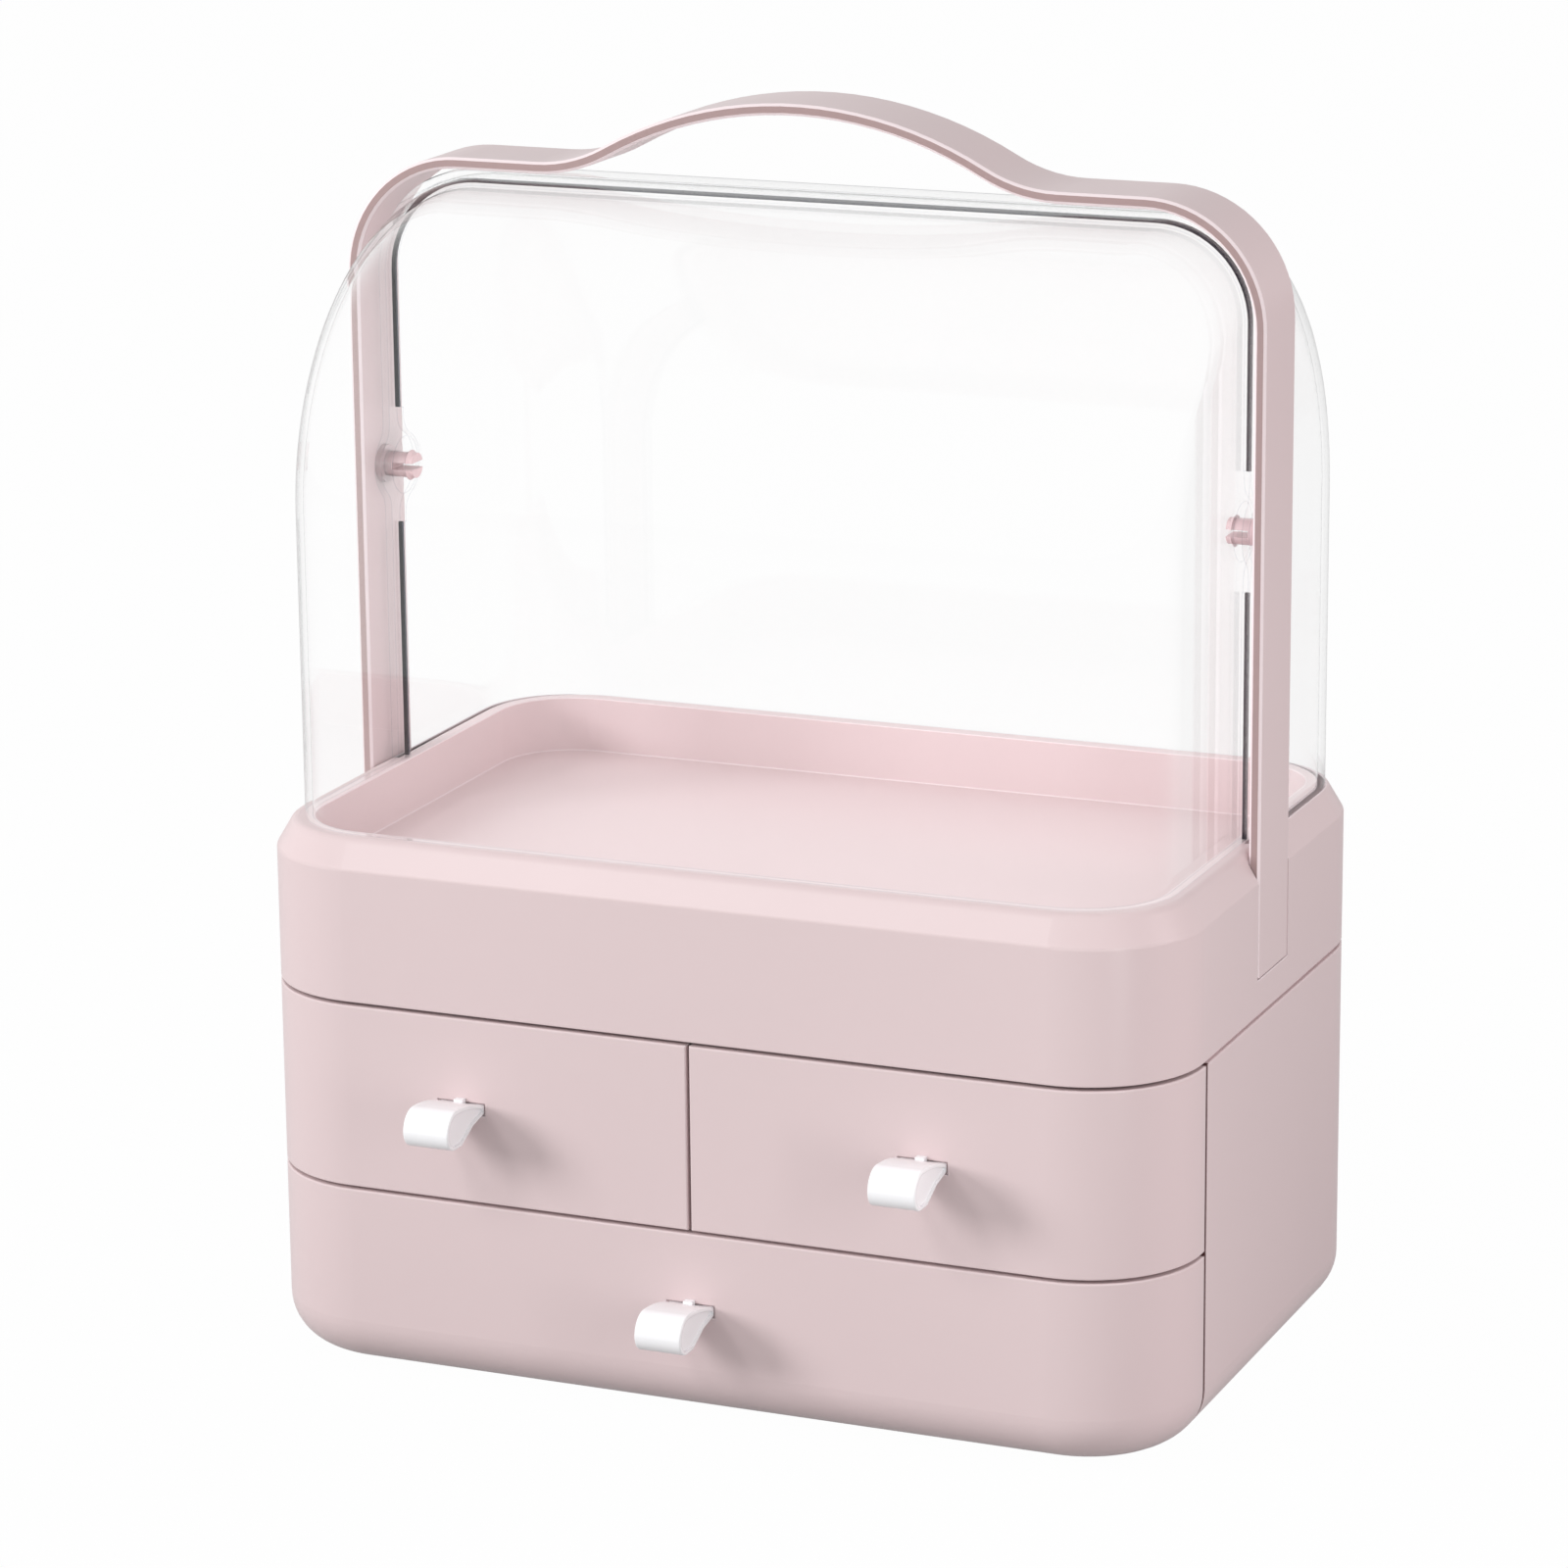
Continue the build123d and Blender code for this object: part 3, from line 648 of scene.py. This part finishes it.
# %% Tree that sets copies in place
def placing_tree(name, material, cross):
    tree = bpy.data.node_groups.new(name, "GeometryNodeTree")
    tree.interface.new_socket("Places", in_out="INPUT", socket_type="NodeSocketGeometry")
    tree.interface.new_socket("Piece", in_out="INPUT", socket_type="NodeSocketObject")
    for size in ("Recess Height", "Recess Depth", "Recess Length", "Recess Width"):
        tree.interface.new_socket(size, in_out="INPUT", socket_type="NodeSocketFloat")
    tree.interface.new_socket("Geometry", in_out="OUTPUT", socket_type="NodeSocketGeometry")
    given = add_node(tree, "NodeGroupInput").outputs
    shape = add_node(tree, "GeometryNodeObjectInfo", {"Object": given["Piece"]}).outputs["Geometry"]
    if cross:
        # two bars laid across each other at the top of the head
        deep = add_node(
            tree, "ShaderNodeMath", {0: given["Recess Depth"], 1: 2.0}, operation="MULTIPLY"
        ).outputs[0]
        middle = add_node(tree, "ShaderNodeCombineXYZ", {"Z": given["Recess Height"]}).outputs[0]
        recessed = add_node(tree, "GeometryNodeMeshBoolean", operation="DIFFERENCE")
        tree.links.new(shape, recessed.inputs["Mesh 1"])
        for long_side, short_side in (("X", "Y"), ("Y", "X")):
            bar = add_node(
                tree,
                "ShaderNodeCombineXYZ",
                {
                    long_side: given["Recess Length"],
                    short_side: given["Recess Width"],
                    "Z": deep,
                },
            )
            cutter = add_node(tree, "GeometryNodeMeshCube", {"Size": bar.outputs[0]})
            placed = add_node(
                tree,
                "GeometryNodeTransform",
                {"Geometry": cutter.outputs["Mesh"], "Translation": middle},
            )
            tree.links.new(placed.outputs["Geometry"], recessed.inputs["Mesh 2"])
        shape = recessed.outputs["Mesh"]
    axis = add_node(
        tree, "GeometryNodeInputNamedAttribute", {"Name": "axis"}, data_type="FLOAT_VECTOR"
    )
    turned = add_node(
        tree,
        "FunctionNodeAlignRotationToVector",
        {"Vector": axis.outputs["Attribute"]},
        axis="Z",
    )
    copies = add_node(
        tree,
        "GeometryNodeInstanceOnPoints",
        {"Points": given["Places"], "Instance": shape, "Rotation": turned.outputs["Rotation"]},
    )
    real = add_node(
        tree, "GeometryNodeRealizeInstances", {"Geometry": copies.outputs["Instances"]}
    )
    painted = add_node(
        tree,
        "GeometryNodeSetMaterial",
        {"Geometry": real.outputs["Geometry"], "Material": material},
    )
    add_node(tree, "NodeGroupOutput", {"Geometry": painted.outputs["Geometry"]})
    return tree


# %% One plain mesh of all the copies
SHARP_ANGLE = math.radians(35)


def set_in_place(name, places, tree, inputs):
    # `places` is a list of (point, axis)
    mesh = bpy.data.meshes.new(name)
    mesh.from_pydata([point for point, axis in places], [], [])
    axes = mesh.attributes.new("axis", "FLOAT_VECTOR", "POINT")
    for point_axis, (point, axis) in zip(axes.data, places):
        point_axis.vector = axis
    holder = bpy.data.objects.new(name, mesh)
    bpy.context.scene.collection.objects.link(holder)
    modifier = holder.modifiers.new(tree.name, "NODES")
    modifier.node_group = tree
    for socket in tree.interface.items_tree:
        if socket.name in inputs:
            modifier[socket.identifier] = inputs[socket.name]
    graph = bpy.context.evaluated_depsgraph_get()
    grown = bpy.data.meshes.new_from_object(holder.evaluated_get(graph))
    holder.modifiers.clear()
    holder.data = grown
    grown.shade_smooth()
    grown.set_sharp_from_angle(angle=SHARP_ANGLE)
    bpy.data.objects.remove(inputs["Piece"])
    return holder


# %% Screws
HEAD_HEIGHT = 1.6 * MM
RECESS_DEPTH = 0.8 * MM
RECESS_WIDTH = 0.8 * MM
RECESS_LENGTH = 1.2  # of the head's radius
SCREWS = {
    # node: (body, shank diameter, pitch, number of its axis, sign along that axis)
    "base_screws": ("case", 3.0, 1.1, 2, 1),
    "tray_screws": ("case", 3.0, 1.1, 2, 1),
    "handle_screws": ("case", 3.0, 1.1, 0, None),
    "lower_pull_screw": ("lower_drawer", 2.0, 0.8, 1, -1),
    "right_pull_screw": ("right_drawer", 2.0, 0.8, 1, -1),
    "left_pull_screw": ("left_drawer", 2.0, 0.8, 1, -1),
}
screw_tree = placing_tree("screws in place", zinc_steel, cross=True)
for node, (body, shank, pitch, along, sign) in SCREWS.items():
    places = []
    for low, high in solids(node):
        middle = (low + high) / 2
        # the handle's screws point outwards, away from the middle of the case
        ahead = sign or (1 if middle[along] > 0 else -1)
        axis = Vector([ahead if number == along else 0 for number in range(3)])
        length = high[along] - low[along]
        seat = middle + axis * (HEAD_HEIGHT - length / 2)
        places.append((seat, axis))
    across = (along + 1) % 3
    head_radius = (high[across] - low[across]) / 2
    screw = pan_screw(
        "screw", head_radius, HEAD_HEIGHT, shank / 2 * MM, length - HEAD_HEIGHT, pitch * MM
    )
    inputs = {
        "Piece": screw,
        "Recess Height": -HEAD_HEIGHT,
        "Recess Depth": RECESS_DEPTH,
        "Recess Length": RECESS_LENGTH * head_radius,
        "Recess Width": RECESS_WIDTH,
    }
    threaded = set_in_place("threaded_" + node, places, screw_tree, inputs)
    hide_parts(node)
    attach(threaded, body)
    print(threaded.name, len(places), "screws,", len(threaded.data.polygons), "faces")

# %% Feet
foot_tree = placing_tree("feet in place", foot_rubber, cross=False)
places = []
for low, high in solids("rubber_feet"):
    middle = (low + high) / 2
    places.append((Vector((middle.x, middle.y, low.z)), Vector((0, 0, 1))))
foot = round_foot("foot", (high.x - low.x) / 2, high.z - low.z)
feet = set_in_place("moulded_feet", places, foot_tree, {"Piece": foot})
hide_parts("rubber_feet")
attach(feet, "case")
print(feet.name, len(places), "feet,", len(feet.data.polygons), "faces")

# %% [markdown]
# ## Floor, light and background
#
# A large softbox up on the left is the main light, and a much weaker one lights the right
# side. Two tall, narrow ones give the rounded corners their upright bands of light, and
# the white surroundings fill the shadows. The camera sees the floor and the background
# as white paper, and so does the gloss, only dimmer.

# %% Floor
FLOOR_SIZE = 14.0
FLOOR_GREY = "#B8B8B8"
FLOOR_IN_GLOSS = 0.4
PAPER_WHITE = 0.985


def seen_as_background(tree, in_gloss):
    # 1 for a ray that shows the background, straight or through the clear plastic, and
    # `in_gloss` for one that shows its mirror image
    rays = add_node(tree, "ShaderNodeLightPath")
    straight = add_node(
        tree,
        "ShaderNodeMath",
        {0: rays.outputs["Is Camera Ray"], 1: rays.outputs["Is Transmission Ray"]},
        operation="MAXIMUM",
    )
    mirrored = add_node(
        tree,
        "ShaderNodeMath",
        {0: rays.outputs["Is Glossy Ray"], 1: in_gloss},
        operation="MULTIPLY",
    )
    seen = add_node(
        tree,
        "ShaderNodeMath",
        {0: straight.outputs[0], 1: mirrored.outputs[0]},
        operation="MAXIMUM",
    )
    return seen.outputs[0]


def white_paper(name, colour):
    # where it is seen, nearly all of its brightness is even, so that it reads as paper
    material = new_material(name)
    tree = material.node_tree
    paper = add_node(
        tree, "ShaderNodeBsdfDiffuse", {"Color": linear(colour), "Roughness": 0.5}
    )
    glow = add_node(tree, "ShaderNodeEmission", {"Color": (1, 1, 1, 1), "Strength": 1.0})
    share = add_node(
        tree,
        "ShaderNodeMath",
        {0: seen_as_background(tree, FLOOR_IN_GLOSS), 1: PAPER_WHITE},
        operation="MULTIPLY",
    )
    both = add_node(
        tree,
        "ShaderNodeMixShader",
        {"Fac": share.outputs[0], 1: paper.outputs["BSDF"], 2: glow.outputs["Emission"]},
    )
    return finish_material(material, both.outputs["Shader"])


floor_mesh = bpy.data.meshes.new("floor")
half = FLOOR_SIZE / 2
corners = [(-half, -half, 0), (half, -half, 0), (half, half, 0), (-half, half, 0)]
floor_mesh.from_pydata(corners, [], [(0, 1, 2, 3)])
floor = bpy.data.objects.new("floor", floor_mesh)
bpy.context.scene.collection.objects.link(floor)
floor_mesh.materials.append(white_paper("floor, white paper", FLOOR_GREY))
print("floor:", FLOOR_SIZE, "m square")

# %% Lamps
AIM = Vector((0, 0, 0.17))


def softbox(name, place, width, height, watts, colour="#FFFFFF"):
    lamp = bpy.data.lights.new(name, "AREA")
    lamp.shape = "RECTANGLE"
    lamp.size = width
    lamp.size_y = height
    lamp.energy = watts
    lamp.color = linear(colour)[:3]
    holder = bpy.data.objects.new(name, lamp)
    direction = AIM - Vector(place)
    turn = direction.to_track_quat("-Z", "Y").to_matrix().to_4x4()
    holder.matrix_world = Matrix.Translation(place) @ turn
    holder.visible_camera = False
    bpy.context.scene.collection.objects.link(holder)
    return holder


# The main light comes in low from the left, so that the pulls throw long soft shadows to
# the right. The right softbox lights the side. The others are there for the gloss: one
# for the slope of the tray's rim, and two upright strips, low and close, for the rounded
# corners.
lamps = [
    softbox("main softbox", (-1.50, -1.35, 0.88), 0.7, 0.7, 23.8),
    softbox("right softbox", (1.42, 0.15, 0.65), 0.7, 0.7, 5.2, "#FFF0F2"),
    softbox("rim softbox", (-0.76, -1.31, 1.48), 0.4, 0.4, 6),
    softbox("left strip", (-0.40, -0.55, 0.35), 0.08, 0.7, 0.2),
    softbox("right strip", (0.46, -0.36, 0.2), 0.05, 0.36, 0.6),
]
lamps[0].visible_glossy = False  # too large a patch in the gloss of the fronts
print("lamps:", {lamp.name: lamp.data.energy for lamp in lamps})

# %% [markdown]
# Clear covers mirror every lamp as a white patch, which a photographer avoids by flagging
# the lamps off. Light linking does the same: the lamps leave the two covers out, and
# those mirror only the white surroundings.

# %% Flag the lamps off the covers
flagged = bpy.data.collections.new("flagged off")
for name in ("front_cover", "rear_cover"):
    flagged.objects.link(nodes[name])
for member in flagged.collection_objects:
    member.light_linking.link_state = "EXCLUDE"
for lamp in lamps:
    lamp.light_linking.receiver_collection = flagged

# %% Surroundings
FILL_LIGHT = 0.53
SKY_IN_GLOSS = 0.7
world = bpy.data.worlds.new("white studio")
bpy.context.scene.world = world
world.use_nodes = True
world.node_tree.nodes.clear()
strength = add_node(
    world.node_tree,
    "ShaderNodeMapRange",
    {
        "Value": seen_as_background(world.node_tree, SKY_IN_GLOSS),
        "To Min": FILL_LIGHT,
        "To Max": 1.0,
    },
)
sky = add_node(
    world.node_tree,
    "ShaderNodeBackground",
    {"Color": (1, 1, 1, 1), "Strength": strength.outputs["Result"]},
)
add_node(world.node_tree, "ShaderNodeOutputWorld", {"Surface": sky.outputs[0]})
bpy.context.scene.view_settings.view_transform = "Standard"

# %% [markdown]
# ## The camera
#
# The picture was taken from the right and from a little above, with a long lens. The
# angles and the distance were fitted to the outline of the case in the photograph.

# %% Camera
YAW = math.radians(22.993)
PITCH = math.radians(15.078)
ROLL = math.radians(-0.558)
DISTANCE = 1.798
LOOK_AT = Vector((-0.009636, 0.0113, 0.17522))
FOCAL_PIXELS = 5898
IMAGE_PIXELS = 1600
SENSOR_MM = 36.0

back = Vector(
    (
        math.sin(YAW) * math.cos(PITCH),
        -math.cos(YAW) * math.cos(PITCH),
        math.sin(PITCH),
    )
)
level = back.cross(Vector((0, 0, 1))).normalized() * -1
up = back.cross(level)
right = math.cos(ROLL) * level + math.sin(ROLL) * up
above = math.cos(ROLL) * up - math.sin(ROLL) * level

lens = bpy.data.cameras.new("camera")
lens.sensor_width = SENSOR_MM
lens.lens = FOCAL_PIXELS / IMAGE_PIXELS * SENSOR_MM
camera = bpy.data.objects.new("camera", lens)
turn = Matrix((right, above, back)).transposed().to_4x4()
camera.matrix_world = Matrix.Translation(LOOK_AT + DISTANCE * back) @ turn
bpy.context.scene.collection.objects.link(camera)
bpy.context.scene.camera = camera
print("camera at", [round(v, 3) for v in camera.location], "lens", round(lens.lens, 1), "mm")
